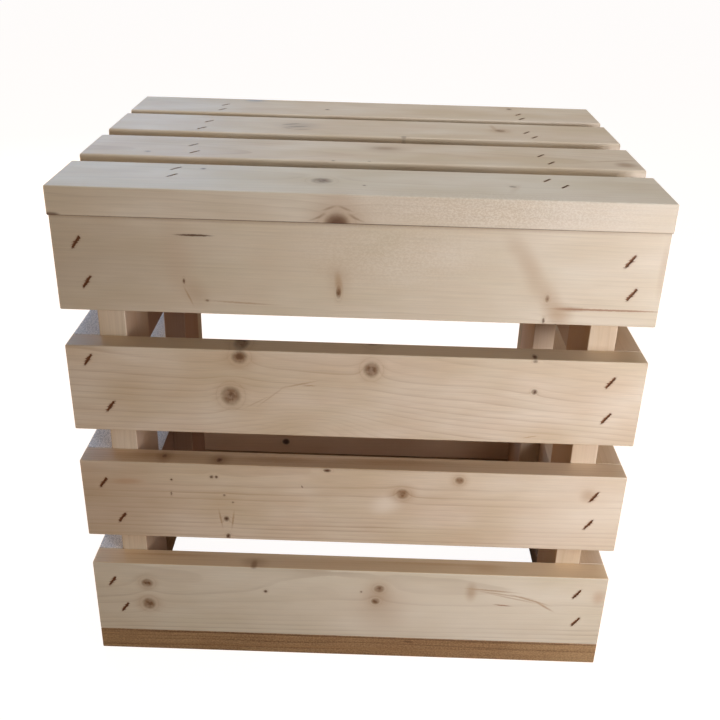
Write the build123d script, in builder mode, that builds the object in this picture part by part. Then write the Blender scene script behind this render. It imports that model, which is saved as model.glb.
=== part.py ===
"""Slatted softwood crate with a lift-off lid, stapled together from one size of planed board.

X runs across the crate, Y from front to back and Z up. The origin is at the bottom, in the middle
of the lid's outline. Rows of wall planks are counted from the top, lid planks from the front.
"""

import os
from itertools import cycle

from build123d import *

# Driving dimensions, in millimetres
crate_width = 457
crate_depth = 353
plank_width = 75
plank_thickness = 22
slat_gap = 30
plank_rows = 4
cut_row = 3
rail_width = 36
edge_radius = 1
lid_edge_radius = 3
end_chamfer = 0.6

# The lid: its planks share the room that is left between them in these proportions
lid_overhang = 4
lid_gap_shares = (22, 21, 14)
least_lid_gap = 8
batten_side_clearance = 1
batten_end_clearance = 3

# Staples: 16 gauge, medium crown, driven a little below the surface
staple_crown = 11.1
wire_width = 1.6
wire_thickness = 1.4
staple_recess = 0.8
staple_slant = 56
staple_tip_cover = 5
staple_fit = 0.05

# Staple places in the ends of front and back planks, an upper and a lower one at each end: distance
# past the side plank's inner face, towards the post, and distance from the upper or the lower edge
front_left_marks = (((-4, 21), (1, 23)), ((-5, 12), (9, 22)), ((-4, 21), (9, 19)), ((-6, 20), (3, 26)))
front_right_marks = (((5, 23), (0, 26)), ((5, 18), (4, 25)), ((3, 20), (4, 27)), ((4, 18), (1, 26)))
back_marks = ((-3, 21), (5, 24))

# Staple places in the side planks: distance from the plank's end, and from its upper or lower edge
side_marks = ((30, 21), (50, 22))

# Staple places in the lid planks, a rear and a front one over each batten: distance from the plank's
# end, and distance from its rear or its front edge
lid_left_marks = (((85, 15), (86, 39)), ((85, 31), (90, 19)), ((83, 29), (81, 16)), ((87, 35), (87, 16)))
lid_right_marks = (((86, 18), (75, 40)), ((79, 33), (74, 17)), ((79, 38), (74, 18)), ((76, 42), (75, 12)))

# Staple places under the base
base_end_margin = 62
base_staple_count = 4
rail_end_margin = 45

# Levels and outer faces
base_top = plank_thickness
walls_top = base_top + plank_rows * plank_width + (plank_rows - 1) * slat_gap
lid_top = walls_top + plank_thickness
lid_depth = crate_depth + lid_overhang
lid_front = -lid_depth / 2
crate_front = lid_front + lid_overhang
crate_back = crate_front + crate_depth
crate_left = -crate_width / 2
crate_right = crate_width / 2

# Inner faces of the walls and of the corner posts
inside_front = crate_front + plank_thickness
inside_back = crate_back - plank_thickness
inside_left = crate_left + plank_thickness
inside_right = crate_right - plank_thickness
post_left = inside_left + plank_thickness
post_right = inside_right - plank_thickness

staple_leg = 2 * plank_thickness - staple_recess - staple_tip_cover
leg_offset = (staple_crown - wire_thickness) / 2

rows = range(1, plank_rows + 1)
os.makedirs("parts", exist_ok=True)


def row_bottom(row):
    """Height of a wall plank's lower edge."""
    return base_top + (plank_rows - row) * (plank_width + slat_gap)


def lid_plank_fronts():
    """Front edges of the lid planks: as many as fit, with the room left shared out between them."""
    count = int((lid_depth + least_lid_gap) // (plank_width + least_lid_gap))
    shares = [lid_gap_shares[place % len(lid_gap_shares)] for place in range(count - 1)]
    room = lid_depth - count * plank_width
    edges = [lid_front]
    for share in shares:
        edges.append(edges[-1] + plank_width + room * share / sum(shares))
    return edges


# Outer faces, each with its own X to the right and Y up as seen from outside
front_face = Plane(origin=(0, crate_front, 0), x_dir=(1, 0, 0), z_dir=(0, -1, 0))
back_face = Plane(origin=(0, crate_back, 0), x_dir=(-1, 0, 0), z_dir=(0, 1, 0))
left_face = Plane(origin=(crate_left, 0, 0), x_dir=(0, -1, 0), z_dir=(-1, 0, 0))
right_face = Plane(origin=(crate_right, 0, 0), x_dir=(0, 1, 0), z_dir=(1, 0, 0))
lid_face = Plane.XY.offset(lid_top)
base_face = Plane(origin=(0, 0, 0), x_dir=(1, 0, 0), z_dir=(0, 0, -1))


def seat(face, across, up):
    """Place of one staple on a face, its crown turned to the common slant."""
    return face.location * Location((across, up, 0), (0, 0, staple_slant))


def across_plank(marks, near_edge):
    """A pair's places along the plank, each with its place across it, given the plank's near edge."""
    (far_along, from_far_edge), (near_along, from_near_edge) = marks
    return (far_along, near_edge + plank_width - from_far_edge), (near_along, near_edge + from_near_edge)


front_seats = []
back_seats = []
left_seats = []
right_seats = []
for row, left_marks, right_marks in zip(rows, cycle(front_left_marks), cycle(front_right_marks)):
    low = row_bottom(row)
    front_seats += [seat(front_face, inside_left + past, up) for past, up in across_plank(left_marks, low)]
    front_seats += [seat(front_face, inside_right - past, up) for past, up in across_plank(right_marks, low)]
    for past, up in across_plank(back_marks, low):
        back_seats.append(seat(back_face, -(inside_left + past), up))
        back_seats.append(seat(back_face, -(inside_right - past), up))
    for end, up in across_plank(side_marks, low):
        left_seats.append(seat(left_face, -(inside_front + end), up))
        left_seats.append(seat(left_face, -(inside_back - end), up))
        right_seats.append(seat(right_face, inside_front + end, up))
        right_seats.append(seat(right_face, inside_back - end, up))

lid_seats = []
for edge, left_marks, right_marks in zip(lid_plank_fronts(), cycle(lid_left_marks), cycle(lid_right_marks)):
    lid_seats += [seat(lid_face, crate_left + end, y) for end, y in across_plank(left_marks, edge)]
    lid_seats += [seat(lid_face, crate_right - end, y) for end, y in across_plank(right_marks, edge)]

# The base is stapled from below into the bottom planks and the feet of the posts
wall_middle = plank_thickness / 2
base_seats = []
for place in range(base_staple_count):
    span = crate_width - 2 * base_end_margin
    across = crate_left + base_end_margin + span * place / (base_staple_count - 1)
    base_seats.append(seat(base_face, across, -(crate_front + wall_middle)))
    base_seats.append(seat(base_face, across, -(crate_back - wall_middle)))
for side in (crate_left + wall_middle, crate_right - wall_middle):
    base_seats.append(seat(base_face, side, -(crate_front + plank_width + rail_end_margin)))
    base_seats.append(seat(base_face, side, -(crate_back - plank_width - rail_end_margin)))
for side in (inside_left + wall_middle, inside_right - wall_middle):
    base_seats.append(seat(base_face, side, -(inside_front + plank_width / 2)))
    base_seats.append(seat(base_face, side, -(inside_back - plank_width / 2)))

all_seats = front_seats + back_seats + left_seats + right_seats + lid_seats + base_seats

# One staple, standing on the XY plane of its seat
with BuildPart() as staple:
    with BuildSketch(Plane.XY.offset(-staple_recess)):
        Rectangle(staple_crown, wire_width)
    extrude(amount=-wire_thickness)
    with BuildSketch(Plane.XY.offset(-staple_recess)):
        with Locations((-leg_offset, 0), (leg_offset, 0)):
            Rectangle(wire_thickness, wire_width)
    extrude(amount=-staple_leg)

# The hole that it makes: a slot over the crown, which rests on the slot's floor, and two leg holes
with BuildPart() as staple_hole:
    with BuildSketch():
        Rectangle(staple_crown + 2 * staple_fit, wire_width + 2 * staple_fit)
    extrude(amount=-(staple_recess + wire_thickness))
    with BuildSketch():
        with Locations((-leg_offset, 0), (leg_offset, 0)):
            Rectangle(wire_thickness + 2 * staple_fit, wire_width + 2 * staple_fit)
    extrude(amount=-(staple_recess + staple_leg + staple_fit))


def holes_within(low, high):
    """Seats of the staples that reach into the box between two corners."""
    found = []
    for place in all_seats:
        hole = staple_hole.part.moved(place).bounding_box()
        clear = (
            hole.max.X <= low[0] or hole.min.X >= high[0]
            or hole.max.Y <= low[1] or hole.min.Y >= high[1]
            or hole.max.Z <= low[2] or hole.min.Z >= high[2]
        )
        if not clear:
            found.append(place)
    return found


def board(name, low, high, grain, radius=edge_radius):
    """Cuts one planed board between two corners, its long edges eased along the grain."""
    middle = tuple((a + b) / 2 for a, b in zip(low, high))
    size = tuple(b - a for a, b in zip(low, high))
    if grain == Axis.X:
        section, centre, shape, length = Plane.YZ.offset(low[0]), middle[1:], size[1:], size[0]
    elif grain == Axis.Y:
        section, centre, shape, length = Plane.XZ.offset(-high[1]), middle[::2], size[::2], size[1]
    else:
        section, centre, shape, length = Plane.XY.offset(low[2]), middle[:2], size[:2], size[2]
    with BuildPart() as piece:
        with BuildSketch(section):
            with Locations(centre):
                RectangleRounded(*shape, radius)
        extrude(amount=length)
        ends = piece.faces().sort_by(grain)
        chamfer(ends[0].edges() + ends[-1].edges(), end_chamfer)
        with Locations(*holes_within(low, high)):
            add(staple_hole.part, mode=Mode.SUBTRACT)
    piece.part.label = name
    export_step(piece.part, f"parts/{name}.step")


def staple_group(name, seats):
    """Writes the staples of one face as a group of separate solids."""
    with BuildPart() as group:
        with Locations(*seats):
            add(staple.part)
    group.part.label = name
    export_step(group.part, f"parts/{name}.step")


# Walls: the front and back planks lap over the ends of the side planks. In one row the back plank is
# cut away between the posts, which leaves a wide hand hole with a short piece at each side of it.
for row in rows:
    low = row_bottom(row)
    high = low + plank_width
    board(f"front_plank_{row}", (crate_left, crate_front, low), (crate_right, inside_front, high), Axis.X)
    board(f"left_plank_{row}", (crate_left, inside_front, low), (inside_left, inside_back, high), Axis.Y)
    board(f"right_plank_{row}", (inside_right, inside_front, low), (crate_right, inside_back, high), Axis.Y)
    if row == cut_row:
        left_end_high = (post_left, crate_back, high)
        right_end_low = (post_right, inside_back, low)
        board(f"back_plank_{row}_left_end", (crate_left, inside_back, low), left_end_high, Axis.X)
        board(f"back_plank_{row}_right_end", right_end_low, (crate_right, crate_back, high), Axis.X)
    else:
        board(f"back_plank_{row}", (crate_left, inside_back, low), (crate_right, crate_back, high), Axis.X)

# Corner posts stand on the base with their wide faces against the side planks
for side, low_x, high_x in (("left", inside_left, post_left), ("right", post_right, inside_right)):
    front_high = inside_front + plank_width
    back_low = inside_back - plank_width
    board(f"front_{side}_post", (low_x, inside_front, base_top), (high_x, front_high, walls_top), Axis.Z)
    board(f"back_{side}_post", (low_x, back_low, base_top), (high_x, inside_back, walls_top), Axis.Z)

# Base: a board under the front wall and one under the back wall, joined by a narrow rail at each side
base_inner_front = crate_front + plank_width
base_inner_back = crate_back - plank_width
board("base_front_board", (crate_left, crate_front, 0), (crate_right, base_inner_front, base_top), Axis.X)
board("base_back_board", (crate_left, base_inner_back, 0), (crate_right, crate_back, base_top), Axis.X)
left_rail_high = (crate_left + rail_width, base_inner_back, base_top)
board("base_left_rail", (crate_left, base_inner_front, 0), left_rail_high, Axis.Y)
right_rail_low = (crate_right - rail_width, base_inner_front, 0)
board("base_right_rail", right_rail_low, (crate_right, base_inner_back, base_top), Axis.Y)

# Lid: planks across the crate on two battens, which drop in between the posts and the walls. Only the
# front plank's long edges are crisp, the others are well rounded.
for number, edge in enumerate(lid_plank_fronts(), start=1):
    rear_corner = (crate_right, edge + plank_width, lid_top)
    radius = edge_radius if number == 1 else lid_edge_radius
    board(f"lid_plank_{number}", (crate_left, edge, walls_top), rear_corner, Axis.X, radius)
batten_bottom = walls_top - plank_thickness
batten_front = inside_front + batten_end_clearance
batten_back = inside_back - batten_end_clearance
left_batten = post_left + batten_side_clearance
right_batten = post_right - batten_side_clearance
left_batten_high = (left_batten + plank_width, batten_back, walls_top)
board("lid_left_batten", (left_batten, batten_front, batten_bottom), left_batten_high, Axis.Y)
right_batten_low = (right_batten - plank_width, batten_front, batten_bottom)
board("lid_right_batten", right_batten_low, (right_batten, batten_back, walls_top), Axis.Y)

staple_group("front_staples", front_seats)
staple_group("back_staples", back_seats)
staple_group("left_staples", left_seats)
staple_group("right_staples", right_seats)
staple_group("base_staples", base_seats)
staple_group("lid_staples", lid_seats)
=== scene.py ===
# %% [markdown]
# # A slatted softwood crate
# The crate is stapled together from one size of planed board. The imported model already holds every
# board at its true size, with its eased edges and its staple holes, so those shapes stay as they are.
# What is left for Blender is the wood itself: growth rings, knots, resin, saw marks and old stains.
# This first cell loads the imported boards, and a small function reads the box round each of them.

# %% Load the imported crate
import random
from math import radians

import bpy
import numpy as np
from mathutils import Matrix, Vector


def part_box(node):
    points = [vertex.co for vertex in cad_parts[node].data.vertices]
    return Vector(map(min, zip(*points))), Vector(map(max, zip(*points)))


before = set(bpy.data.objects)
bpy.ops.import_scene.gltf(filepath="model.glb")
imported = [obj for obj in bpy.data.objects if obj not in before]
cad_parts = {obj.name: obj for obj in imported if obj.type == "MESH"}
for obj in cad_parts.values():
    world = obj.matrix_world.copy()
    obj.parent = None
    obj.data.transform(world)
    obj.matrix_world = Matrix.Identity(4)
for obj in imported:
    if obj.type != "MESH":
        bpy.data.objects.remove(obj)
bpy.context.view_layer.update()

MM = 0.001

# %% [markdown]
# ## Camera
# The view is a person's, standing close in front of the crate and looking down on its lid. The lens
# is close to a normal one. A small shift of the frame settles the crate in it without turning the
# camera.

# %% Place the camera
bpy.ops.object.select_all(action="DESELECT")
camera_data = bpy.data.cameras.new("camera")
camera_data.lens = 48.56
camera_data.shift_x = 0.0053
camera_data.shift_y = 0.0837
camera = bpy.data.objects.new("camera", camera_data)
camera.location = (0.0072, -0.8678, 0.6218)
camera.rotation_euler = (radians(61.68), radians(-1.42), radians(1.23))
bpy.context.scene.collection.objects.link(camera)
bpy.context.scene.camera = camera

# %% [markdown]
# ## Helpers for colours and nodes
# Colours are chosen as ordinary hex values, as a paint chart gives them, and one function turns them
# into the linear numbers that Blender's sockets want. A second function adds one node of any kind
# with its settings and its inputs. An input may be a number or another node, which is then linked. A
# third starts a group, with the values it is given and the results it hands back.

# %% Colour and node helpers
def linear(hex_colour):
    """Turns an sRGB hex colour such as "#DDCBB2" into linear red, green, blue and alpha."""
    parts = [int(hex_colour[place:place + 2], 16) / 255 for place in (1, 3, 5)]
    return [p / 12.92 if p <= 0.04045 else ((p + 0.055) / 1.055) ** 2.4 for p in parts] + [1.0]


def add_node(tree, kind, inputs=None, **settings):
    """Adds a shader node of a kind such as "Math", with its settings, and sets or links its inputs."""
    node = tree.nodes.new("ShaderNode" + kind)
    for name, value in settings.items():
        setattr(node, name, value)
    for socket, value in (inputs or {}).items():
        if isinstance(value, bpy.types.Node):
            value = value.outputs[0]
        if isinstance(value, bpy.types.NodeSocket):
            tree.links.new(value, node.inputs[socket])
        else:
            node.inputs[socket].default_value = value
    return node


def new_group(name, inputs, outputs):
    """Makes an empty node group, and returns it with its own inputs and its results."""
    tree = bpy.data.node_groups.new(name, "ShaderNodeTree")
    for direction, sockets in (("INPUT", inputs), ("OUTPUT", outputs)):
        for socket, kind in sockets.items():
            tree.interface.new_socket(name=socket, in_out=direction, socket_type="NodeSocket" + kind)
    return tree, tree.nodes.new("NodeGroupInput").outputs, tree.nodes.new("NodeGroupOutput").inputs


print("pale spruce as linear colour:", [round(part, 3) for part in linear("#DDCBB2")])

# %% [markdown]
# ## How far a point is from a knot or a stain
# Most marks on a board are ovals: a knot, a resin pocket, the crushed wood round a staple. One small
# group measures how far a point is from an oval, counted so that the rim is at 1. Everything that is
# drawn as an oval, sharp or soft, is made from that one number.

# %% Group: distance from an oval
tree, given, result = new_group(
    "oval_distance",
    {"Point": "Vector", "Place": "Vector", "Radii": "Vector", "Turn": "Float"},
    {"Distance": "Float"},
)
offset = add_node(tree, "VectorMath", {0: given["Point"], 1: given["Place"]}, operation="SUBTRACT")
turned = add_node(
    tree, "VectorRotate", {"Vector": offset, "Angle": given["Turn"]},
    rotation_type="Z_AXIS", invert=True,
)
scaled = add_node(tree, "VectorMath", {0: turned, 1: given["Radii"]}, operation="DIVIDE")
distance = add_node(tree, "VectorMath", {0: scaled}, operation="LENGTH")
tree.links.new(distance.outputs["Value"], result["Distance"])
oval_distance = tree
print("nodes in oval_distance:", len(tree.nodes))

# %% [markdown]
# ## A soft mark over a colour
# A stain, a streak or a crushed slot is one oval laid over the colour below it. Its rim fades between
# two distances, so a soft mark melts into the wood and a hard one has an edge. The group takes a
# colour and gives it back with the mark on it, so marks are stacked one after the other.

# %% Group: lay a mark over a colour
tree, given, result = new_group(
    "soft_mark",
    {"Colour": "Color", "Point": "Vector", "Place": "Vector", "Radii": "Vector", "Turn": "Float",
     "Shade": "Color", "Cover": "Float", "Soft": "Float"},
    {"Colour": "Color"},
)
# A soft rim begins inside the oval and ends half as far outside it
outer_share = 0.5
away = add_node(
    tree, "Group",
    {name: given[name] for name in ("Point", "Place", "Radii", "Turn")}, node_tree=oval_distance,
)
outer = add_node(tree, "Math", {0: given["Soft"], 1: outer_share, 2: 1.0}, operation="MULTIPLY_ADD")
inner = add_node(tree, "Math", {0: 1.0, 1: given["Soft"]}, operation="SUBTRACT")
amount = add_node(
    tree, "MapRange",
    {"Value": away, "From Min": outer, "From Max": inner, "To Min": 0.0, "To Max": given["Cover"]},
    interpolation_type="SMOOTHSTEP",
)
marked = add_node(tree, "Mix", {0: amount, 6: given["Colour"], 7: given["Shade"]}, data_type="RGBA")
tree.links.new(marked.outputs[2], result["Colour"])
soft_mark = tree
print("nodes in soft_mark:", len(tree.nodes))

# %% [markdown]
# ## Knots point at the heart of the tree
# A knot is a branch that grew outwards from the pith, the thin heart of the trunk. So it gets thinner
# towards the pith and leans with the radius of the trunk. Instead of drawing each knot as a cone, this
# group slides every point of the board along its own radius onto the plane of the board's face. Knots
# are then plain ovals on that plane, and they come out right on the edges and the back as well.

# %% Group: project a point from the pith onto the face
tree, given, result = new_group(
    "face_point",
    {"Point": "Vector", "Pith_across": "Float", "Pith_depth": "Float", "Face_depth": "Float"},
    {"Flat": "Vector"},
)
parts = add_node(tree, "SeparateXYZ", {0: given["Point"]})
from_pith = add_node(tree, "Math", {0: parts.outputs["Z"], 1: given["Pith_depth"]}, operation="SUBTRACT")
face_from_pith = add_node(
    tree, "Math", {0: given["Face_depth"], 1: given["Pith_depth"]}, operation="SUBTRACT"
)
share = add_node(tree, "Math", {0: from_pith, 1: face_from_pith}, operation="DIVIDE")
sideways = add_node(tree, "Math", {0: parts.outputs["Y"], 1: given["Pith_across"]}, operation="SUBTRACT")
spread = add_node(tree, "Math", {0: sideways, 1: share}, operation="DIVIDE")
across = add_node(tree, "Math", {0: spread, 1: given["Pith_across"]}, operation="ADD")
flat = add_node(tree, "CombineXYZ", {0: parts.outputs["X"], 1: across})
tree.links.new(flat.outputs[0], result["Flat"])
face_point = tree
print("nodes in face_point:", len(tree.nodes))

# %% [markdown]
# ## One knot at a time
# Two numbers are carried from knot to knot: how far the knots together push the growth rings out, and
# how near the nearest knot is. Each knot adds its share to the first and may lower the second.

# %% Group: take one more knot into account
tree, given, result = new_group(
    "knot_step",
    {"Bulge": "Float", "Nearest": "Float", "Point": "Vector", "Place": "Vector", "Radii": "Vector",
     "Push": "Float"},
    {"Bulge": "Float", "Nearest": "Float"},
)
away = add_node(
    tree, "Group", {name: given[name] for name in ("Point", "Place", "Radii")}, node_tree=oval_distance
)
# The push is greatest at the middle of the knot and falls with the square of the distance. This keeps
# it from growing without end there.
least_fall = 0.8
fall = add_node(tree, "Math", {0: away, 1: away, 2: least_fall}, operation="MULTIPLY_ADD")
pushed = add_node(tree, "Math", {0: given["Push"], 1: fall}, operation="DIVIDE")
bulge = add_node(tree, "Math", {0: pushed, 1: given["Bulge"]}, operation="ADD")
nearest = add_node(tree, "Math", {0: away, 1: given["Nearest"]}, operation="MINIMUM")
tree.links.new(bulge.outputs[0], result["Bulge"])
tree.links.new(nearest.outputs[0], result["Nearest"])
knot_step = tree
print("nodes in knot_step:", len(tree.nodes))

# %% [markdown]
# ## Growth rings
# A board is a slice through cones of growth rings. Each ring starts pale and soft in spring, darkens
# slowly and ends in a thin brown line, so a saw-tooth of the distance from the pith draws it. Slow
# noise bends the rings as a real trunk does, and each ring has its own strength. Where a branch pushed
# the rings outwards, the bulge that comes in from the knots is added to the distance, and the lines
# flow round the knot by themselves.

# %% Group: growth rings
tree, given, result = new_group(
    "growth_rings",
    {"Point": "Vector", "Pith_across": "Float", "Pith_depth": "Float", "Lean": "Float",
     "Bulge": "Float", "Ring_width": "Float", "Bend": "Float", "Seed": "Float"},
    {"Late": "Float"},
)
parts = add_node(tree, "SeparateXYZ", {0: given["Point"]})
sideways = add_node(tree, "Math", {0: parts.outputs["Y"], 1: given["Pith_across"]}, operation="SUBTRACT")
deep = add_node(tree, "Math", {0: parts.outputs["Z"], 1: given["Pith_depth"]}, operation="SUBTRACT")
radial = add_node(tree, "CombineXYZ", {0: sideways, 1: deep})
radius = add_node(tree, "VectorMath", {0: radial}, operation="LENGTH")
slope = add_node(tree, "Math", {0: parts.outputs["X"], 1: given["Lean"]}, operation="MULTIPLY")
leaning = add_node(tree, "Math", {0: radius.outputs["Value"], 1: slope}, operation="ADD")
distance = add_node(tree, "Math", {0: leaning, 1: given["Bulge"]}, operation="ADD")
# Two bends, in patterns per millimetre and millimetres: a slow one over a hand's breadth and more,
# and one that is small and tight
slow_bend = ((0.006, 0.012, 0.012), given["Bend"])
tight_bend = ((0.03, 0.10, 0.10), 0.9)
for stretch, depth_mm in (slow_bend, tight_bend):
    place = add_node(tree, "VectorMath", {0: given["Point"], 1: stretch}, operation="MULTIPLY")
    bend = add_node(
        tree, "TexNoise",
        {"Vector": place, "W": given["Seed"], "Scale": 1.0, "Detail": 1.0, "Roughness": 0.4},
        noise_dimensions="4D",
    )
    centred = add_node(tree, "Math", {0: bend, 1: 0.5}, operation="SUBTRACT")
    distance = add_node(tree, "Math", {0: centred, 1: depth_mm, 2: distance}, operation="MULTIPLY_ADD")
count = add_node(tree, "Math", {0: distance, 1: given["Ring_width"]}, operation="DIVIDE")
season = add_node(tree, "Math", {0: count}, operation="FRACT")
# How dark the wood is in the course of one year: pale in spring, darkest just before winter
spring = 0.05
profile = add_node(tree, "ValToRGB", {0: season})
profile.color_ramp.interpolation = "EASE"
for place, dark in ((0.35, 0.06), (0.70, 0.35), (0.90, 1.0), (0.96, 0.85)):
    profile.color_ramp.elements.new(place).color = (dark, dark, dark, 1)
for end in (0, -1):
    profile.color_ramp.elements[end].color = (spring, spring, spring, 1)
number = add_node(tree, "Math", {0: count}, operation="FLOOR")
seeded = add_node(tree, "Math", {0: number, 1: given["Seed"]}, operation="ADD")
chance = add_node(tree, "TexWhiteNoise", {"W": seeded}, noise_dimensions="1D")
faintest_ring = 0.35
strength = add_node(
    tree, "MapRange", {"Value": chance.outputs["Value"], "To Min": faintest_ring, "To Max": 1.0}
)
late = add_node(tree, "Math", {0: profile, 1: strength}, operation="MULTIPLY")
tree.links.new(late.outputs[0], result["Late"])
growth_rings = tree
print("nodes in growth_rings:", len(tree.nodes))

# %% [markdown]
# ## The planed face
# Fresh planed spruce is nearly white. Light and air turn it straw-coloured, unevenly, so slow clouds
# of a darker and of a rosier tone lie over the pale ground. On top come the ring lines, which are
# plain in some places and faint in others, and the fibres: pale and dark streaks along the grain,
# drawn about 1 mm across, coarser than real fibres, so that they show at all.

# %% Group: ground colour of a planed face
tree, given, result = new_group(
    "planed_face",
    {"Point": "Vector", "Seed": "Float", "Late": "Float", "Show": "Float",
     "Early": "Color", "Cloud": "Color", "Rosy": "Color", "Line": "Color", "Darkest": "Float"},
    {"Colour": "Color", "Fibre": "Float", "Relief": "Float"},
)
# Stretch along, across and through the board, in patterns per millimetre, and a shift of the seed
# that keeps the layers apart
slow_patterns = (
    ("cloud", (0.012, 0.030, 0.030), 0.0),
    ("rosy", (0.020, 0.045, 0.045), 31.0),
    ("patch", (0.008, 0.050, 0.050), 57.0),
)
fibre_stretch = (0.03, 1.1, 1.1)
rosy_most = 0.34
plainest, faintest = 1.0, 0.25
brightest_fibre = 1.05
# The values of a noise hardly ever leave this range
noise_range = {"From Min": 0.3, "From Max": 0.7}
slow_layers = {}
for layer, stretch, shift in slow_patterns:
    place = add_node(tree, "VectorMath", {0: given["Point"], 1: stretch}, operation="MULTIPLY")
    own_seed = add_node(tree, "Math", {0: given["Seed"], 1: shift}, operation="ADD")
    noise = add_node(
        tree, "TexNoise",
        {"Vector": place, "W": own_seed, "Scale": 1.0, "Detail": 2.0, "Roughness": 0.5},
        noise_dimensions="4D",
    )
    slow_layers[layer] = add_node(tree, "MapRange", {"Value": noise, "From Min": 0.36, "From Max": 0.68})
fibre_place = add_node(tree, "VectorMath", {0: given["Point"], 1: fibre_stretch}, operation="MULTIPLY")
fibre = add_node(
    tree, "TexNoise",
    {"Vector": fibre_place, "W": given["Seed"], "Scale": 1.0, "Detail": 3.0, "Roughness": 0.65},
    noise_dimensions="4D",
)
clouded = add_node(
    tree, "Mix", {0: slow_layers["cloud"], 6: given["Early"], 7: given["Cloud"]}, data_type="RGBA"
)
rosy_amount = add_node(tree, "Math", {0: slow_layers["rosy"], 1: rosy_most}, operation="MULTIPLY")
rosy = add_node(tree, "Mix", {0: rosy_amount, 6: clouded.outputs[2], 7: given["Rosy"]}, data_type="RGBA")
plainness = add_node(
    tree, "Math",
    {0: slow_layers["patch"], 1: plainest - faintest, 2: faintest}, operation="MULTIPLY_ADD",
)
shown = add_node(tree, "Math", {0: plainness, 1: given["Show"]}, operation="MULTIPLY")
line = add_node(tree, "Math", {0: shown, 1: given["Late"]}, operation="MULTIPLY")
ringed = add_node(tree, "Mix", {0: line, 6: rosy.outputs[2], 7: given["Line"]}, data_type="RGBA")
streak = add_node(
    tree, "MapRange",
    {"Value": fibre, **noise_range, "To Min": given["Darkest"], "To Max": brightest_fibre},
)
streaked = add_node(tree, "VectorMath", {0: ringed.outputs[2], 1: streak}, operation="MULTIPLY")
tree.links.new(streaked.outputs[0], result["Colour"])
tree.links.new(fibre.outputs[0], result["Fibre"])
tree.links.new(line.outputs[0], result["Relief"])
planed_face = tree
print("nodes in planed_face:", len(tree.nodes))

# %% [markdown]
# ## The colour of a knot
# From the middle out a spruce knot has a brown, mottled core, a duller grey-brown rim, pale wood round
# it, and often one thin brown line where the bark of the branch was caught. All of it is a colour ramp
# on the distance to the nearest knot. The ramp's own alpha says how much of the wood it hides.

# %% Group: colour of the knots
tree, given, result = new_group(
    "knot_colour",
    {"Colour": "Color", "Nearest": "Float", "Point": "Vector", "Strength": "Float"},
    {"Colour": "Color", "Cover": "Float"},
)
# The ramp runs from the middle of a knot to two and a half radii from it
ramp_reach = 2.5
reach = add_node(tree, "Math", {0: given["Nearest"], 1: ramp_reach}, operation="DIVIDE")
shades = add_node(tree, "ValToRGB", {0: reach})
ramp = shades.color_ramp
knot_shades = (
    (0.00, "#4B3121", 1.00), (0.36, "#5E4230", 0.97), (0.56, "#80654C", 0.90), (0.80, "#7F6C57", 0.72),
    (1.02, "#9A876D", 0.42), (1.22, "#C2AE94", 0.12), (1.46, "#B39470", 0.10), (1.56, "#8A6642", 0.19),
    (1.66, "#B39470", 0.10), (1.80, "#B79C7C", 0.08), (2.30, "#B79C7C", 0.00),
)
ramp.elements.remove(ramp.elements[1])
ramp.elements[0].color = (*linear(knot_shades[0][1])[:3], knot_shades[0][2])
for radii_out, shade, cover in knot_shades[1:]:
    ramp.elements.new(radii_out / ramp_reach).color = (*linear(shade)[:3], cover)
# The mottle has patches of about 5 mm
mottle = add_node(
    tree, "TexNoise", {"Vector": given["Point"], "Scale": 1 / 5, "Detail": 3.0, "Roughness": 0.55}
)
broken = add_node(
    tree, "MapRange",
    {"Value": mottle, "From Min": 0.38, "From Max": 0.58, "To Min": 0.66, "To Max": 1.08},
)
patchy = add_node(tree, "Math", {0: shades.outputs["Alpha"], 1: broken}, operation="MULTIPLY")
cover = add_node(tree, "Math", {0: patchy, 1: given["Strength"]}, operation="MULTIPLY", use_clamp=True)
knotted = add_node(
    tree, "Mix", {0: cover, 6: given["Colour"], 7: shades.outputs["Color"]}, data_type="RGBA"
)
tree.links.new(knotted.outputs[2], result["Colour"])
tree.links.new(cover.outputs[0], result["Cover"])
knot_colour = tree
print("nodes in knot_colour:", len(tree.nodes))

# %% [markdown]
# ## Ends, edges and inner faces
# The ends of a board are sawn across the grain. The open pores drink in dirt and shade, so end grain
# looks darker and browner than the faces. The narrow edges and the faces towards the inside get painted
# light and shade, a tone that stands in for how light falls on them. Each is found by how far a surface
# faces along one direction of the board.

# %% Group: another tone on the sides that face one way
tree, given, result = new_group(
    "facing_tone",
    {"Colour": "Color", "Normal": "Vector", "Direction": "Vector", "Shade": "Color", "Cover": "Float"},
    {"Colour": "Color"},
)
# A side counts fully when it faces within 25 degrees of the direction, and not at all past 53
barely, fully = 0.6, 0.9
facing = add_node(
    tree, "VectorMath", {0: given["Normal"], 1: given["Direction"]}, operation="DOT_PRODUCT"
)
amount = add_node(
    tree, "MapRange",
    {"Value": facing.outputs["Value"], "From Min": barely, "From Max": fully, "To Max": given["Cover"]},
)
toned = add_node(tree, "Mix", {0: amount, 6: given["Colour"], 7: given["Shade"]}, data_type="RGBA")
tree.links.new(toned.outputs[2], result["Colour"])
facing_tone = tree
print("nodes in facing_tone:", len(tree.nodes))

# %% [markdown]
# ## Which way each board lies
# Every board gets its own axes: along the grain, across the face, and out of the face. The table names
# those axes for each family of boards, so that one description of wood serves them all.

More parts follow.
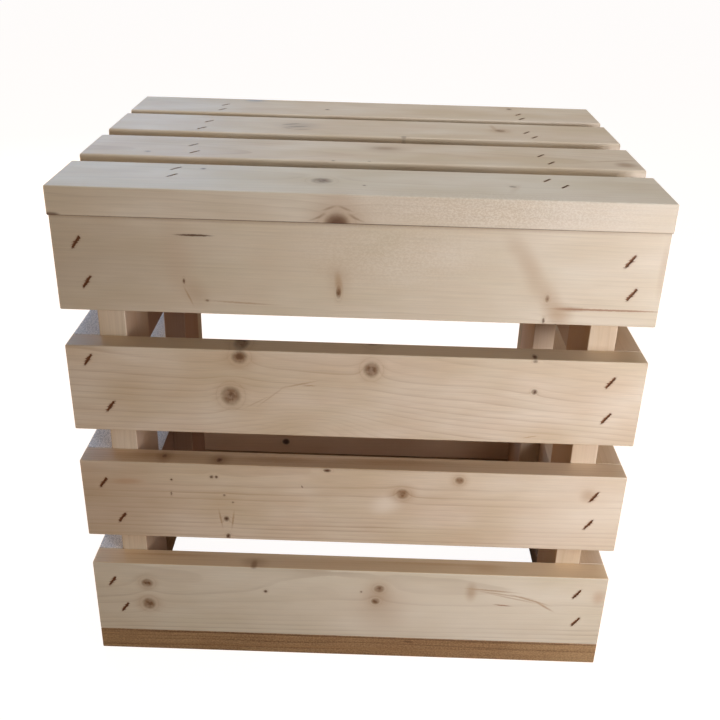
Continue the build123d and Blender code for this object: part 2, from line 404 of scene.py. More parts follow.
# %% Board families
X, Y, Z = Vector((1, 0, 0)), Vector((0, 1, 0)), Vector((0, 0, 1))
families = {
    "front_plank": (X, Z, -Y),
    "back_plank": (-X, Z, Y),
    "left_plank": (-Y, Z, -X),
    "right_plank": (Y, Z, X),
    "lid_plank": (X, Y, Z),
    "base_front_board": (X, -Y, -Z),
    "base_back_board": (X, -Y, -Z),
    "base_left_rail": (Y, X, -Z),
    "base_right_rail": (Y, X, -Z),
    "lid_left_batten": (Y, X, -Z),
    "lid_right_batten": (Y, X, -Z),
    "front_left_post": (Z, Y, -X),
    "front_right_post": (Z, -Y, X),
    "back_left_post": (Z, Y, -X),
    "back_right_post": (Z, -Y, X),
}


def family_of(node):
    """The family that a board's name belongs to."""
    return next(family for family in families if node.startswith(family))


boards = sorted(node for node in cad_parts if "staples" not in node)
print("boards:", len(boards))

# %% [markdown]
# ## Where the staples went in
# A driven staple crushes the wood round its crown and leaves a dark, ragged slot. The staples are in
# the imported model, so their places are read from it: the corners on the outermost level of each group
# are gathered crown by crown.

# %% Find the staple crowns
staple_faces = {
    "front_staples": -Y, "back_staples": Y, "left_staples": -X,
    "right_staples": X, "lid_staples": Z, "base_staples": -Z,
}
# The corners of one crown lie within its length, and a little more for the wire's thickness
crown_length = 11.1 * MM
crown_reach = 1.03 * crown_length
level_slack = 0.1 * MM


def find_crowns(node, outward):
    """Middle and direction of every staple crown in a group."""
    corners = np.array([vertex.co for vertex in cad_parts[node].data.vertices])
    level = corners @ np.array(outward)
    corners = corners[level > level.max() - level_slack]
    found = []
    while len(corners):
        same = np.linalg.norm(corners - corners[0], axis=1) < crown_reach
        middle = corners[same].mean(axis=0)
        direction = np.linalg.svd(corners[same] - middle)[2][0]
        found.append((Vector(middle), Vector(direction)))
        corners = corners[~same]
    return found


crowns = {node: find_crowns(node, outward) for node, outward in staple_faces.items()}
print("crowns found:", {node: len(found) for node, found in crowns.items()})

# %% [markdown]
# ## Knots of the boards in view
# Most boards show a few knots. Each is given as distance from the board's left end, height above its
# lower edge, depth behind the face, and the radius of the oval along and across the grain, all in
# millimetres. The last number says how many millimetres the branch pushed the rings out.

# %% Knots, board by board
knots = {
    "front_plank_1": [
        (214, 21, 0, 2.0, 5.0, 3), (372, 21, 0, 1.6, 3.0, 4), (371, 3, 0, 1.2, 2.4, 3),
        (97, 26, 0, 1.0, 2.4, 1), (114, 11, 0, 1.5, 1.0, 2),
    ],
    "front_plank_2": [
        (137, 69.5, 0, 6.2, 5.6, 9), (129, 35, 0, 7.6, 8.2, 14), (241, 62, 0, 6.2, 6.6, 9),
        (371, 47, 0, 2.4, 2.4, 3), (369, 73.5, 0, 2.0, 1.4, 3),
    ],
    "front_plank_3": [
        (76, 59, 0, 1.1, 1.1, 1), (75, 45, 0, 0.9, 2.0, 1), (110, 63, 0, 1.8, 1.8, 2),
        (114, 63, 0, 1.5, 1.5, 1), (120, 45, 0, 1.3, 1.3, 1), (127, 38, 0, 1.0, 1.0, 1),
        (121, 21, 0, 2.4, 3.0, 6), (122, 3, 0, 2.2, 2.8, 3),
        (271, 52, 0, 5.0, 4.6, 4), (318, 67, 0, 3.6, 3.4, 2), (207, 72.8, 0, 3.4, 1.7, 4),
        (69, 75, 12, 2.2, 0.4, 1), (116, 75, 8, 2.6, 0.4, 2),
    ],
    "front_plank_4": [
        (47, 54, 0, 5.0, 4.4, 5), (47, 31, 0, 5.6, 6.0, 7), (153, 49, 0, 1.8, 1.8, 2),
        (239, 52, 0, 1.1, 1.1, 1), (255, 56, 0, 4.4, 3.8, 4), (252, 42, 0, 3.8, 3.4, 3),
    ],
    "lid_plank_1": [
        (212, 0, 21.5, 9.0, 10.0, 7), (199, 36, 0, 8.0, 8.0, 8), (106, 61, 0, 2.4, 2.4, 3),
        (342, 35, 0, 2.8, 2.8, 3), (231, 26, 0, 1.5, 1.5, 1),
    ],
    "lid_plank_2": [
        (52, 16, 0, 2.8, 2.6, 2), (205, 3, 0, 1.6, 1.2, 1), (234, 4, 0, 1.6, 1.2, 1),
    ],
    "lid_plank_3": [(354, 41, 0, 5.0, 6.0, 5), (264, 2, 4, 2.6, 2.6, 3)],
    "lid_plank_4": [(375, 60, 0, 3.0, 4.0, 3), (190, 30, 0, 2.5, 2.5, 3)],
    "back_plank_4": [(314, 15.5, 22, 4.6, 4.2, 4), (362, 50, 22, 3.0, 3.0, 4), (110, 40, 0, 5.0, 5.0, 6)],
}
# A branch that lies hidden under the face pushes the rings too, but shows no knot
swells = {
    "front_plank_2": [(196, 8, 0, 50, 22, 18), (330, 45, 0, 50, 14, 4)],
    "front_plank_4": [(200, 55, 0, 50, 14, 5)],
}
print("knots placed by hand:", sum(len(found) for found in knots.values()))

# %% [markdown]
# ## The ground of a board
# Some marks aren't knots: pockets of resin, brown streaks, a bruise, a pale patch. They are ovals too,
# but soft ones, each with its own colour. A mark has a place, a depth, two radii, a turn in degrees, a
# colour, how strong it is and how soft its rim is. The broad ones come first: they lie under the knots
# and make one board, or one end of it, greyer, browner or paler than the rest.

# %% Grounds, board by board
resin, amber, reddish, bark = "#53301A", "#A17A50", "#B58A68", "#7C5E42"
bluish, chalk = "#8E93A0", "#F0E6D4"
grounds = {
    "front_plank_1": [
        (228, 37, 0, 500, 200, 0, "#D8D8C6", 0.25, 0.9), (0, 37, 0, 130, 60, 0, "#9A8466", 0.30, 0.9),
        # The long dark band along the top of the plank is painted shadow, cast by the lid's overhang
        (228.5, 74.5, 0, 400, 2.6, 0, "#7A5E44", 0.45, 0.9), (255, 52, 0, 70, 26, 0, "flecks", 0.14, 0.9),
    ],
    "front_plank_3": [
        (10, 30, 0, 70, 60, 0, amber, 0.34, 0.9), (430, 30, 0, 70, 40, 0, chalk, 0.40, 0.9),
        (257, 41, 0, 14, 10, 20, chalk, 0.55, 0.9), (230, 75, 11, 130, 2.0, 0, "#84552F", 0.45, 0.9),
        (60, 75, 13, 40, 0.8, 0, "#84552F", 0.50, 0.9), (262, 75, 14, 46, 0.7, 0, "#7A4C2A", 0.50, 0.9),
        (165, 75, 12, 34, 0.6, 0, "#7A4C2A", 0.45, 0.9),
    ],
    "front_plank_4": [
        (228, 37, 0, 500, 200, 0, "#D8DDCB", 0.32, 0.9), (290, 35, 0, 130, 45, 0, chalk, 0.35, 0.9),
        (257, 34, 0, 26, 26, 0, amber, 0.26, 0.9), (240, 75, 11, 110, 2.4, 0, "#8A5C36", 0.30, 0.9),
        (350, 75, 11, 16, 2.0, 0, "#84552F", 0.40, 0.9), (62, 75, 15, 44, 0.8, 0, "#84552F", 0.50, 0.9),
        (300, 75, 14, 60, 0.6, 0, "#84552F", 0.45, 0.9),
    ],
    "lid_plank_1": [
        (228, 37, 0, 500, 300, 0, "#D5D8CA", 0.22, 0.9), (330, 0, 11, 105, 22, 0, "flecks", 0.26, 0.9),
    ],
    "base_front_board": [(228, 75, 11, 400, 60, 0, "pine_flecks", 0.27, 0.5)],
}
print("broad grounds:", sum(len(found) for found in grounds.values()))

# %% [markdown]
# ## Stains and streaks
# The smaller marks lie over the knots: resin that ran, a painted shadow line where the lid meets the
# front wall, bark that grew in round a branch, and the bruises of use.

# %% Stains and streaks, board by board
marks = {
    "front_plank_1": [
        (106, 62, 0, 14.5, 0.9, 0, resin, 0.9, 0.5), (349, 56, 0, 19, 8, -48, amber, 0.25, 0.9),
        (361, 36, 0, 19, 8, -60, amber, 0.28, 0.9), (376, 15, 0, 17, 8, -72, amber, 0.36, 0.9),
        (455, 45, 0, 3, 24, 0, amber, 0.20, 0.8), (214, 28, 0, 3, 10, 8, amber, 0.45, 0.8),
        (384, 8, 0, 9, 9, 0, amber, 0.40, 0.9), (420, 13, 0, 44, 0.9, 0, "#8F5E38", 0.75, 0.6),
        (140, 10, 0, 26, 0.8, -2, amber, 0.5, 0.8), (214, 30, 0, 9, 14, 12, amber, 0.22, 0.9),
        (94, 40, 0, 12, 34, 6, reddish, 0.15, 0.9), (106, 16, 0, 9, 12, 20, amber, 0.22, 0.9),
        (100, 14, 0, 0.8, 8, 24, amber, 0.5, 0.8), (392, 13, 0, 12, 2.0, 0, "#8A5A35", 0.5, 0.8),
    ],
    "front_plank_2": [
        (192, 46, 0, 6, 0.5, 2, amber, 0.6, 0.5), (372, 6, 0, 6, 0.4, 12, amber, 0.6, 0.6),
        (129, 35, 0, 12, 12, 0, amber, 0.22, 0.8), (137, 66, 0, 15, 9, 0, amber, 0.26, 0.9),
        (241, 62, 0, 11, 11, 0, amber, 0.20, 0.9), (162, 36, 0, 15, 0.7, 40, amber, 0.30, 0.8),
        (184, 47, 0, 15, 0.8, 14, amber, 0.45, 0.8), (150, 30, 0, 12, 0.6, 30, amber, 0.30, 0.8),
    ],
    "front_plank_3": [
        (38, 56, 0, 14, 3.0, 2, reddish, 0.45, 0.7),
        (186, 56, 0, 0.7, 1.6, 30, resin, 0.6, 0.5), (271, 52, 0, 12, 9, 0, amber, 0.42, 0.9),
        (427, 56, 0, 7, 7, 0, amber, 0.40, 0.9), (116, 21, 0, 0.9, 9, 8, amber, 0.60, 0.9),
        (126.5, 20, 0, 0.9, 9, -8, amber, 0.60, 0.9), (318, 67, 0, 8, 7, 0, amber, 0.38, 0.9),
        (69, 75, 12, 7, 1.4, 0, "#84552F", 0.45, 0.9), (116, 75, 9, 10, 1.4, 0, "#84552F", 0.45, 0.9),
    ],
    "front_plank_4": [
        (366, 42, 0, 8, 0.7, -4, "#8F5E38", 0.8, 0.6), (375, 50, 0, 24, 0.8, -12, amber, 0.45, 0.8),
        (451, 54, 0, 6, 8, 0, reddish, 0.40, 0.9), (47, 31, 0, 13, 10, 0, amber, 0.32, 0.9),
        (47, 55, 0, 11, 9, 0, amber, 0.22, 0.9), (254, 50, 0, 13, 17, 0, amber, 0.30, 0.9),
        (337, 56, 0, 5, 10, 0, amber, 0.45, 0.9), (356, 58, 0, 24, 0.9, -4, amber, 0.60, 0.8),
        (366, 54, 0, 26, 0.8, -8, amber, 0.50, 0.8), (390, 49, 0, 18, 1.1, -17, amber, 0.60, 0.8),
        (404, 42, 0, 10, 1.1, -32, amber, 0.60, 0.8), (143, 75, 4, 3, 2.4, 0, "#6B4426", 0.60, 0.7),
        (143, 75, 8, 12, 2.2, 0, amber, 0.50, 0.9),
    ],
    "lid_plank_1": [
        (212, 0, 19, 22, 22, 0, amber, 0.45, 0.9),
        (212, 0, 21.5, 8.5, 11, 0, "#5E3D27", 0.85, 0.7), (343, 28, 0, 3, 14, -20, amber, 0.15, 0.9),
        # The long dark line along the lower front edge is painted shadow where the lid rests on the front
        # wall
        (228.5, 0, 22, 400, 1.7, 0, "#3E2C1E", 0.80, 0.5), (3, 0, 21, 7, 3, 0, resin, 0.7, 0.6),
        (200, 0, 16.5, 7, 1.1, 58, bark, 0.42, 0.9), (224, 0, 16.5, 7, 1.1, -58, bark, 0.42, 0.9),
        (206, 0, 10.5, 6, 1.1, 34, bark, 0.42, 0.9), (218, 0, 10.5, 6, 1.1, -34, bark, 0.42, 0.9),
        (196, 0, 18.5, 7, 1.0, 50, bark, 0.30, 0.9), (228, 0, 18.5, 7, 1.0, -50, bark, 0.30, 0.9),
    ],
    "lid_plank_2": [
        (247, 50, 0, 20, 13, 0, "#A98F70", 0.50, 0.9), (247, 52, 0, 11, 6, 0, "#8A6B4C", 0.45, 0.9),
        (444, 18, 0, 9, 9, 0, "#8A6644", 0.55, 0.8), (437, 30, 0, 26, 1.6, 14, amber, 0.5, 0.8),
    ],
    "lid_plank_3": [
        (168, 38, 0, 20, 16, 10, "#A89A88", 0.50, 0.9), (160, 44, 0, 9, 1.5, 24, "#6F5642", 0.75, 0.6),
        (166, 33, 0, 11, 1.5, 14, "#6F5642", 0.75, 0.6), (172, 22, 0, 9, 1.4, 8, "#6F5642", 0.45, 0.7),
        (158, 26, 0, 5, 1.4, -20, "#6F5642", 0.45, 0.7), (354, 41, 0, 12, 10, 0, amber, 0.30, 0.9),
        (349, 55, 0, 2.5, 12, 8, amber, 0.35, 0.8),
    ],
    "lid_plank_4": [(114, 68, 0, 11, 9, 0, bluish, 0.55, 0.9)],
    "back_plank_4": [(314, 15.5, 22, 4.2, 3.8, 0, "#3A2014", 0.85, 0.5)],
    "base_front_board": [
        (228, 75, 21, 400, 1.2, 0, resin, 0.75, 0.7), (90, 75, 16.5, 150, 0.9, 1.5, resin, 0.45, 0.8),
        (330, 75, 14, 140, 1.2, -2, resin, 0.40, 0.8), (284, 75, 18, 6, 2.4, -30, resin, 0.60, 0.6),
        (200, 75, 8, 180, 2.4, 1, "#A8835A", 0.45, 0.9),
    ],
}
print("soft marks:", sum(len(found) for found in marks.values()))

# %% [markdown]
# ## How each board was cut from its log
# The pith's place says how a board was cut: a pith far to one side gives close straight lines, and one
# behind the middle gives wide arches. A cut is given as the pith's place across and behind the face,
# the lean of the trunk along the board, the width of a ring, how far the rings wander, and how plainly
# they show. The boards seen from the front are matched one by one, and the others take turns at four
# common cuts.

# %% Cuts
cuts = {
    "front_plank_1": (-60, -44, 0.010, 2.6, 3, 0.26),
    "front_plank_2": (46, -30, -0.045, 4.2, 6, 0.42),
    "front_plank_3": (34, -26, 0.006, 3.7, 3, 0.62),
    "front_plank_4": (24, -44, 0.012, 3.4, 3.5, 0.80),
    "lid_plank_1": (8, -34, 0.012, 3.4, 6, 0.26),
    "base_front_board": (-20, -34, 0.010, 3.6, 5, 0.60),
}
common_cuts = [
    (-50, -38, 0.015, 3.2, 7, 0.34), (18, -30, -0.030, 4.0, 9, 0.38),
    (60, -42, 0.008, 3.0, 5, 0.30), (-14, -34, 0.040, 3.8, 9, 0.42),
]


def cut_of(node):
    """Pith across and deep, lean, ring width, bend and how plainly the rings show on a board."""
    return cuts.get(node, common_cuts[boards.index(node) % len(common_cuts)])


print("cut of the first board:", boards[0], cut_of(boards[0]))

# %% [markdown]
# ## A board and its own millimetres
# The patterns are drawn in millimetres along, across and out of each board's face, from its middle. A
# Mapping node turns and centres the object coordinates to that. The tables above count from a board's
# left end and lower edge, so a place in them is moved to the middle first. One that lies below the
# face is slid along its radius onto the face, like every point of the board.

# %% Axes and places of a board
def board_axes(node):
    """The board's own axes, its middle in them, and half its size in millimetres."""
    low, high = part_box(node)
    turn = Matrix(families[family_of(node)])
    centre = turn @ ((low + high) / 2) / MM
    half = Vector([abs(size) / 2 for size in turn @ (high - low)]) / MM
    return turn, centre, half


def on_face(node, left, up, depth, wide, tall):
    """Place and radii, on the plane of the face, of an oval that lies somewhere in the board."""
    half = board_axes(node)[2]
    pith_across, pith_depth = cut_of(node)[:2]
    shrink = (half.z - depth - pith_depth) / (half.z - pith_depth)
    side = (up - half.y - pith_across) / shrink + pith_across
    return {"Place": (left - half.x, side, 0), "Radii": (wide, tall / shrink, 1)}


print("half the size of", boards[0], "in mm:", [round(size, 1) for size in board_axes(boards[0])[2]])

# %% [markdown]
# ## Knots of the other boards
# Branches leave a spruce trunk every 30 to 50 cm, and small ones in between. So each board of the side
# walls, the back, the base and the lid's battens gets between one and four knots, of about 2 to 6 mm
# radius, and a short piece gets one. The dice are thrown from a fixed start, so every run draws the
# same knots.

# %% Knots by chance
dice = random.Random(11)
knot_counts = (1, 2, 2, 3, 4)
knot_radii = (1.6, 2.4, 3.4, 4.8, 6.0)
short_piece = 120
from_end, from_edge = 15, 4
push_per_radius = 1.3
plain_boards = [
    node for node in boards
    if node not in knots and node.startswith(("left_plank", "right_plank", "back_plank", "lid_", "base_"))
]
for node in plain_boards:
    half = board_axes(node)[2]
    knots[node] = []
    for _ in range(dice.choice(knot_counts) if 2 * half.x > short_piece else 1):
        wide = dice.choice(knot_radii)
        tall = wide * dice.uniform(0.8, 1.3)
        left = dice.uniform(from_end, 2 * half.x - from_end)
        up = dice.uniform(from_edge, 2 * half.y - from_edge)
        knots[node].append((left, up, 0, wide, tall, push_per_radius * wide))
print("knots by chance:", sum(len(knots[node]) for node in plain_boards), "on", len(plain_boards), "boards")

# %% [markdown]
# ## Staple slots on a board
# Each staple crown that lies on a board gets two marks: a faint bruise, and the torn slot. Both reach
# only 3 mm deep, so they don't come out on the board's edges as a knot does. The slot's edge is
# splintered, which is why its point is shaken along the grain much more than across it.

# %% Slots of one board
# Radii along, across and into the board in millimetres, cover and softness
bruise = ((7.2, 2.4, 3), 0.35, 0.6)
torn_slot = ((6.5, 1.30, 3), 0.96, 0.30)
bruise_shade = linear("#A07C5A")
# The slots in the lid are drawn at half strength, so they are fainter
lid_slot_share = 0.5


def lay_slots(tree, node, colour, splintered, shade):
    """Lays a bruise and a torn slot over the colour at each staple crown of the board."""
    turn, centre, half = board_axes(node)
    low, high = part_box(node)
    for group, outward in staple_faces.items():
        if (turn[2] - outward).length > 0.1:
            continue
        share = lid_slot_share if group == "lid_staples" else 1.0
        for middle, direction in crowns[group]:
            if not all(low[axis] - MM < middle[axis] < high[axis] + MM for axis in range(3)):
                continue
            spot = turn @ middle / MM - centre
            run = turn @ direction
            for (radii, cover, soft), tone in ((bruise, bruise_shade), (torn_slot, shade)):
                colour = add_node(
                    tree, "Group",
                    {"Colour": colour, "Point": splintered, "Place": (spot.x, spot.y, half.z),
                     "Radii": radii, "Turn": np.arctan2(run.y, run.x), "Shade": tone, "Soft": soft,
                     "Cover": cover * share},
                    node_tree=soft_mark,
                )
    return colour


print("slots are drawn on", len(staple_faces), "faces")

# %% [markdown]
# ## Ragged points
# A knot's rim wanders by up to half a millimetre, and splinters lie along the grain. So the ovals are
# not measured from a point itself but from a shaken one: one is shaken alike in all directions, for
# knots and stains, and lies on the plane of the face. The other is shaken mostly along the grain, for
# the torn slots, and keeps its own depth.

# %% Shake the points of a board
# How fine each shake is, in patterns per millimetre, and how far it reaches in millimetres
ragged_shake = ((0.45, 0.45, 0.45), (0.9, 0.9, 0))
splintered_shake = ((0.12, 0.95, 0.95), (6.0, 0.6, 0))


def shake_points(tree, point, flat):
    """The ragged point, on the plane of the face, and the splintered one, at its own depth."""
    shaken = []
    for start, (stretch, reach_mm) in ((flat, ragged_shake), (point, splintered_shake)):
        place = add_node(tree, "VectorMath", {0: point, 1: stretch}, operation="MULTIPLY")
        noise = add_node(
            tree, "TexNoise", {"Vector": place, "Scale": 1.0, "Detail": 3.0, "Roughness": 0.6}
        )
        centred = add_node(
            tree, "VectorMath", {0: noise.outputs["Color"], 1: (0.5, 0.5, 0.5)}, operation="SUBTRACT"
        )
        shaken.append(add_node(
            tree, "VectorMath", {0: centred, 1: reach_mm, 2: start}, operation="MULTIPLY_ADD"
        ))
    return shaken


print("splinters reach along the grain, in mm:", splintered_shake[1][0])

# %% [markdown]
# ## All knots of a board
# The knots are chained one after the other. A swell is a knot that lies hidden below the face, so only
# its push is passed on.

# %% Chain the knots
# A board without knots has its nearest one this many radii away, past the end of the knots' colours
no_knot = 9.0


def lay_knots(tree, node, ragged):
    """How far the rings are pushed out, and how near the nearest knot is."""
    bulge, nearest = 0.0, no_knot
    for left, up, depth, wide, tall, push in knots.get(node, []):
        knot = add_node(
            tree, "Group",
            {"Bulge": bulge, "Nearest": nearest, "Point": ragged, "Push": push,
             **on_face(node, left, up, depth, wide, tall)},
            node_tree=knot_step,
        )
        bulge, nearest = knot.outputs["Bulge"], knot.outputs["Nearest"]
    for left, up, depth, wide, tall, push in swells.get(node, []):
        swell = add_node(
            tree, "Group",
            {"Bulge": bulge, "Point": ragged, "Push": push, **on_face(node, left, up, depth, wide, tall)},
            node_tree=knot_step,
        )
        bulge = swell.outputs["Bulge"]
    return bulge, nearest


print("most knots on one board:", max(len(found) for found in knots.values()))

# %% [markdown]
# ## Painted light and shade of the sides
# The narrow edges and the inner faces of some boards get painted light and shade: a tone each, and how
# strongly it covers the wood. The inner faces of the left wall and of its rear post carry the darkest
# painted shade. The upper edges of that wall carry painted cool sky light, broken into grey and white
# flecks.

# %% Painted light and shade of the sides
end_cover = 0.65
# Painted light and shade on the narrow edges: a warm tone where light bounces off the wood, a dark one on
# the left rear post, which lies in shade, and cool sky light on the left wall's upper edges
edge_light_and_shade = {
    "front_plank_2": ("#E8CDA6", 0.58),
    "front_plank_3": ("#E2B884", 0.38),
    "front_plank_4": ("#ECC084", 0.50),
    "front_left_post": ("#C8A988", 0.15),
    "front_right_post": ("#C8A583", 0.25),
    "left_plank": ("skylight_flecks", 0.82),
    "back_left_post": ("#8E5836", 0.70),
    "back_right_post": ("#C2966C", 0.45),
    "right_plank": ("#CC9C68", 0.32),
}
# Painted light and shade on the inner faces: dark brown where the inside lies in shade, paler and warmer
# where light bounces in
inner_light_and_shade = {
    "left_plank": ("#8E5836", 0.72),
    "right_plank": ("#F0D0B6", 0.62),
    "back_plank": ("#DDA67C", 0.50),
    "front_left_post": ("#A06A42", 0.50),
    "front_right_post": ("#DCA268", 0.60),
    "back_left_post": ("#8E5836", 0.85),
    "back_right_post": ("#E4AE84", 0.50),
}
# Torn fibres, and the painted sky light on the left wall's upper edges, are a jumble of a dark and a
# pale shade
fleck_pairs = {
    "flecks": ("#BFA789", "#F4ECDE"),
    "pine_flecks": ("#5E4024", "#C7A272"),
    "skylight_flecks": ("#C2C9D2", "#FAFCFF"),
}
fleck_stretch = (0.55, 0.85, 0.85)
print("boards or families with a tone of their own:", len(edge_light_and_shade) + len(inner_light_and_shade))

# %% [markdown]
# ## Laying marks and tones
# The marks of a table are laid over the wood in their order, and the tones of the sides, end grain and
# painted light and shade, each over the part of the surface that faces their way. The shade of either is
# a plain colour or a jumble of flecks.

# %% Marks and sides
def painted_side_tone(node, table):
    """Painted light or shade and its cover from a table of name beginnings, or none."""
    return next((tone for start, tone in table.items() if node.startswith(start)), ("#FFFFFF", 0.0))


def shade_of(tree, point, shade):
    """A plain hex colour, or flecks, of torn fibres or of painted sky light, drawn 1 to 2 mm across so that
    they show.
    """
    if shade not in fleck_pairs:
        return linear(shade)
    dark, pale = fleck_pairs[shade]
    place = add_node(tree, "VectorMath", {0: point, 1: fleck_stretch}, operation="MULTIPLY")
    noise = add_node(tree, "TexNoise", {"Vector": place, "Scale": 1.0, "Detail": 2.0, "Roughness": 0.7})
    torn = add_node(tree, "MapRange", {"Value": noise, "From Min": 0.44, "From Max": 0.58})
    return add_node(tree, "Mix", {0: torn, 6: linear(dark), 7: linear(pale)}, data_type="RGBA").outputs[2]


def lay_marks(tree, table, node, colour, ragged, point):
    """Lays the board's marks from one table over its colour."""
    found = next((rows for start, rows in table.items() if node.startswith(start)), [])
    for left, up, depth, wide, tall, angle, shade, cover, soft in found:
        colour = add_node(
            tree, "Group",
            {"Colour": colour, "Point": ragged, "Turn": radians(angle),
             "Shade": shade_of(tree, point, shade), "Cover": cover, "Soft": soft,
             **on_face(node, left, up, depth, wide, tall)},
            node_tree=soft_mark,
        )
    return colour


def lay_sides(tree, node, colour, normal, point, end_shade):
    """Lays the end-grain tone over the sawn ends, and painted light and shade over the narrow edges and the
    inner face.
    """
    turn = board_axes(node)[0]
    sides = [(direction, end_shade, end_cover) for direction in (turn[0], -turn[0])]
    sides += [(direction, *painted_side_tone(node, edge_light_and_shade)) for direction in (turn[1], -turn[1])]
    sides += [(-turn[2], *painted_side_tone(node, inner_light_and_shade))]
    for direction, shade, cover in sides:
        if cover > 0:
            colour = add_node(
                tree, "Group",
                {"Colour": colour, "Normal": normal, "Direction": direction,
                 "Shade": shade_of(tree, point, shade), "Cover": cover},
                node_tree=facing_tone,
            )
    return colour


print("boards with their own edge tone:", sum(painted_side_tone(node, edge_light_and_shade)[1] > 0 for node in boards))

# %% [markdown]
# ## Touch of the surface
# Late wood and knots stand a little proud of a planed face, and the fibres roughen it, so the same
# numbers that colour the wood drive a slight bump, and its roughness varies with the fibres. Wood
# reflects like most organic solids, with an index of refraction of 1.5.

# %% Roughness and bump
relief_height = 0.25 * MM
smoothest, roughest = 0.44, 0.58
fibre_share = 0.8
bump_strength = 0.35
wood_ior = 1.5


def finish_surface(tree, shader, fibre, relief, knot_cover):
    """Links roughness and bump, and sets the index of refraction."""
    gloss = add_node(
        tree, "MapRange", {"Value": fibre, **noise_range, "To Min": smoothest, "To Max": roughest}
    )
    tree.links.new(gloss.outputs[0], shader.inputs["Roughness"])
    raised = add_node(tree, "Math", {0: knot_cover, 1: relief}, operation="ADD")
    height = add_node(tree, "Math", {0: fibre, 1: fibre_share, 2: raised}, operation="MULTIPLY_ADD")
    bump = add_node(
        tree, "Bump", {"Height": height, "Strength": bump_strength, "Distance": relief_height}
    )
    tree.links.new(bump.outputs[0], shader.inputs["Normal"])
    shader.inputs["IOR"].default_value = wood_ior


print("bump height in metres:", relief_height)

# %% [markdown]
# ## Planed softwood
# Spruce is the common crate wood: pale, with soft brown ring lines and little gloss. Now the groups
# are chained for one board, in the order in which a painter would work: the rings, the planed face,
# its broad grounds, the end grain and the painted light and shade of the other sides, the knots, the
# stains and the staple slots.

# %% Wood of one board
# The lid's knots are drawn fainter, a painted sheen that pales them. The seeds of two boards lie far apart
# in the noise.
lid_knots_under_sheen = 0.75
seed_step = 7.3


def wood_material(node, finish, tones):
    """Planed softwood for one board, with its own rings, knots and marks."""
    turn, centre, half = board_axes(node)
    pith_across, pith_depth, lean, ring_width, bend, ring_show = cut_of(node)
    pith = {"Pith_across": pith_across, "Pith_depth": pith_depth}
    seed = boards.index(node) * seed_step
    material = bpy.data.materials.new(finish + "_" + node)
    material.use_nodes = True
    tree = material.node_tree
    shader = tree.nodes["Principled BSDF"]
    coordinates = add_node(tree, "TexCoord")
    point = add_node(
        tree, "Mapping",
        {"Vector": coordinates.outputs["Object"], "Location": -centre,
         "Rotation": turn.to_euler(), "Scale": (1 / MM, 1 / MM, 1 / MM)},
    )
    flat = add_node(tree, "Group", {"Point": point, "Face_depth": half.z, **pith}, node_tree=face_point)
    ragged, splintered = shake_points(tree, point, flat)
    bulge, nearest = lay_knots(tree, node, ragged)
    rings = add_node(
        tree, "Group",
        {"Point": point, "Lean": lean, "Bulge": bulge, "Ring_width": ring_width, "Bend": bend,
         "Seed": seed, **pith},
        node_tree=growth_rings,
    )
    face = add_node(
        tree, "Group",
        {"Point": point, "Seed": seed, "Late": rings.outputs["Late"], "Show": ring_show * tones["show"],
         "Early": linear(tones["early"]), "Cloud": linear(tones["cloud"]), "Rosy": linear(tones["rosy"]),
         "Line": linear(tones["line"]), "Darkest": tones["darkest"]},
        node_tree=planed_face,
    )
    ground = lay_marks(tree, grounds, node, face, ragged, point)
    # The end grain, and the painted light and shade of the edges and inner faces, go on here
    ground = lay_sides(tree, node, ground, coordinates.outputs["Normal"], point, tones["end"])
    knotted = add_node(
        tree, "Group",
        {"Colour": ground, "Nearest": nearest, "Point": point,
         "Strength": lid_knots_under_sheen if node.startswith("lid_plank") else 1.0},
        node_tree=knot_colour,
    )
    colour = lay_marks(tree, marks, node, knotted, ragged, point)
    colour = lay_slots(tree, node, colour, splintered, linear(tones["crushed"]))
    tree.links.new(colour.outputs[0], shader.inputs["Base Color"])
    finish_surface(tree, shader, face.outputs["Fibre"], face.outputs["Relief"], knotted.outputs["Cover"])
    return material


print("a chain of groups is ready for", len(boards), "boards")

# %% [markdown]
# ## Two kinds of wood
# The walls and the lid are one pale wood. The boards of the base are a browner pine, probably older
# stock, with plainer rings.

# %% Give every board its wood
def dress(node, material):
    """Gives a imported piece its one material."""
    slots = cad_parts[node].data.materials
    slots.clear()
    slots.append(material)


tones_of = {
    "planed_spruce": {
        "early": "#DED0BA", "cloud": "#CFBD9F", "rosy": "#CDB294", "line": "#A28260", "show": 1.0,
        "darkest": 0.915, "end": "#B49A7A", "crushed": "#6C3F24",
    },
    "brown_pine": {
        "early": "#B3936A", "cloud": "#997854", "rosy": "#A37C58", "line": "#6A4A2E", "show": 2.0,
        "darkest": 0.80, "end": "#84633F", "crushed": "#3A2417",
    },
}
for node in boards:
    finish = "brown_pine" if node.startswith("base") else "planed_spruce"
    dress(node, wood_material(node, finish, tones_of[finish]))
print("wood materials:", len(boards))

# %% [markdown]
# ## Staple wire
# The staples are galvanised steel wire with a brown coat of glue, which melts as they are driven. Little
# of the crown shows at the bottom of its slot, so a dull, dark metal is enough.

# %% Staple material
wire = bpy.data.materials.new("coated_staple_wire")
wire.use_nodes = True
tree = wire.node_tree
shader = tree.nodes["Principled BSDF"]
coordinates = add_node(tree, "TexCoord")
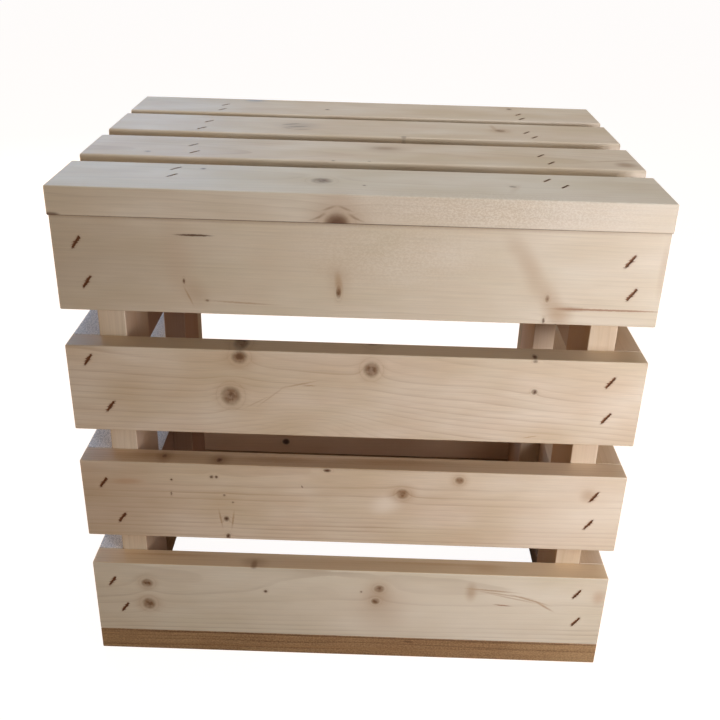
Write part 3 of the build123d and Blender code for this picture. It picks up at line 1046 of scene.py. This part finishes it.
# Object coordinates are in metres, so this gives patches of glue about 1 mm across
patches_per_metre = 900.0
film = add_node(
    tree, "TexNoise",
    {"Vector": coordinates.outputs["Object"], "Scale": patches_per_metre, "Detail": 2.0},
)
film_colour = add_node(
    tree, "Mix", {0: film, 6: linear("#6A4228"), 7: linear("#966644")}, data_type="RGBA"
)
tree.links.new(film_colour.outputs[2], shader.inputs["Base Color"])
film_roughness = add_node(tree, "MapRange", {"Value": film, "To Min": 0.35, "To Max": 0.7})
tree.links.new(film_roughness.outputs[0], shader.inputs["Roughness"])
shader.inputs["Metallic"].default_value = 0.4
for node in staple_faces:
    dress(node, wire)
print("staple groups:", len(staple_faces))

# %% [markdown]
# ## Floor
# A plain pale floor, much larger than the crate, so that its edge never shows. It looks white to the
# camera but throws warm light back, as a wooden floor does.

# %% Floor
floor_width = 60
floor_glow = 0.95
bpy.ops.object.select_all(action="DESELECT")
bpy.ops.mesh.primitive_plane_add(size=floor_width, location=(0, 0, 0))
floor = bpy.context.object
floor.name = "floor"
paper = bpy.data.materials.new("white_paper")
paper.use_nodes = True
tree = paper.node_tree
shader = tree.nodes["Principled BSDF"]
shader.inputs["Base Color"].default_value = linear("#A47C56")
shader.inputs["Roughness"].default_value = 0.9
ray = add_node(tree, "LightPath")
glow = add_node(tree, "Math", {0: ray.outputs["Is Camera Ray"], 1: floor_glow}, operation="MULTIPLY")
shader.inputs["Emission Color"].default_value = linear("#FFFFFF")
tree.links.new(glow.outputs[0], shader.inputs["Emission Strength"])
floor.data.materials.append(paper)
print("the floor's width in metres:", floor_width)

# %% [markdown]
# ## Sky
# The sky that lights the crate is dim and warm, like the walls of a room. Looked at directly it is
# plain white, so that it joins the floor without a line.

# %% Sky
world = bpy.data.worlds.new("studio")
world.use_nodes = True
bpy.context.scene.world = world
tree = world.node_tree
dim_sky = tree.nodes["Background"]
dim_sky.inputs["Color"].default_value = linear("#FFE4C4")
dim_sky.inputs["Strength"].default_value = 0.11
white_sky = add_node(tree, "Background", {"Color": linear("#FFFFFF"), "Strength": 1.0})
sky_ray = add_node(tree, "LightPath")
sky = add_node(tree, "MixShader", {0: sky_ray.outputs["Is Camera Ray"], 1: dim_sky, 2: white_sky})
tree.links.new(sky.outputs[0], tree.nodes["World Output"].inputs["Surface"])
bpy.context.scene.view_settings.view_transform = "Standard"
print("light of the sky:", round(dim_sky.inputs["Strength"].default_value, 2))

# %% [markdown]
# ## Lamps
# The key lamp stands close at the front right, so the planks' right ends are brighter, and a broad fill
# stands far in front. A ceiling lamp and a cool window behind the left corner light the lid. A low warm
# lamp at the left and a fill behind the crate brighten the side and the inside. All are soft boxes that
# the camera doesn't see.

# %% Lamps
def soft_lamp(name, place, aim, size, power, hex_colour):
    """A square area lamp that looks at a point."""
    data = bpy.data.lights.new(name, "AREA")
    data.size = size
    data.energy = power
    data.color = linear(hex_colour)[:3]
    lamp = bpy.data.objects.new(name, data)
    lamp.location = place
    lamp.rotation_euler = (Vector(aim) - Vector(place)).to_track_quat("-Z", "Y").to_euler()
    lamp.visible_camera = False
    bpy.context.scene.collection.objects.link(lamp)


# Name, place, aim, size in metres, power in watts, colour
soft_lamp("front_key", (0.62, -0.66, 0.38), (0.2, 0, 0.22), 0.4, 5.9, "#F2F4FF")
soft_lamp("front_fill", (-0.2, -2.4, 0.9), (0, 0, 0.2), 1.0, 6.5, "#FFFDF5")
soft_lamp("ceiling", (0.1, 0.35, 1.7), (0, 0, 0.4), 1.2, 14.9, "#F7F8FF")
soft_lamp("cool_window", (-0.9, 1.6, 1.0), (-0.15, 0, 0.43), 1.2, 7.5, "#5CBAFF")
soft_lamp("left_wall", (-1.5, 0.1, 0.16), (0, 0, 0.16), 0.5, 9.0, "#FFE0C4")
soft_lamp("back_fill", (-0.9, 1.6, 0.30), (0, 0.1, 0.25), 0.8, 5.0, "#FFEBD6")
print("lamps placed")
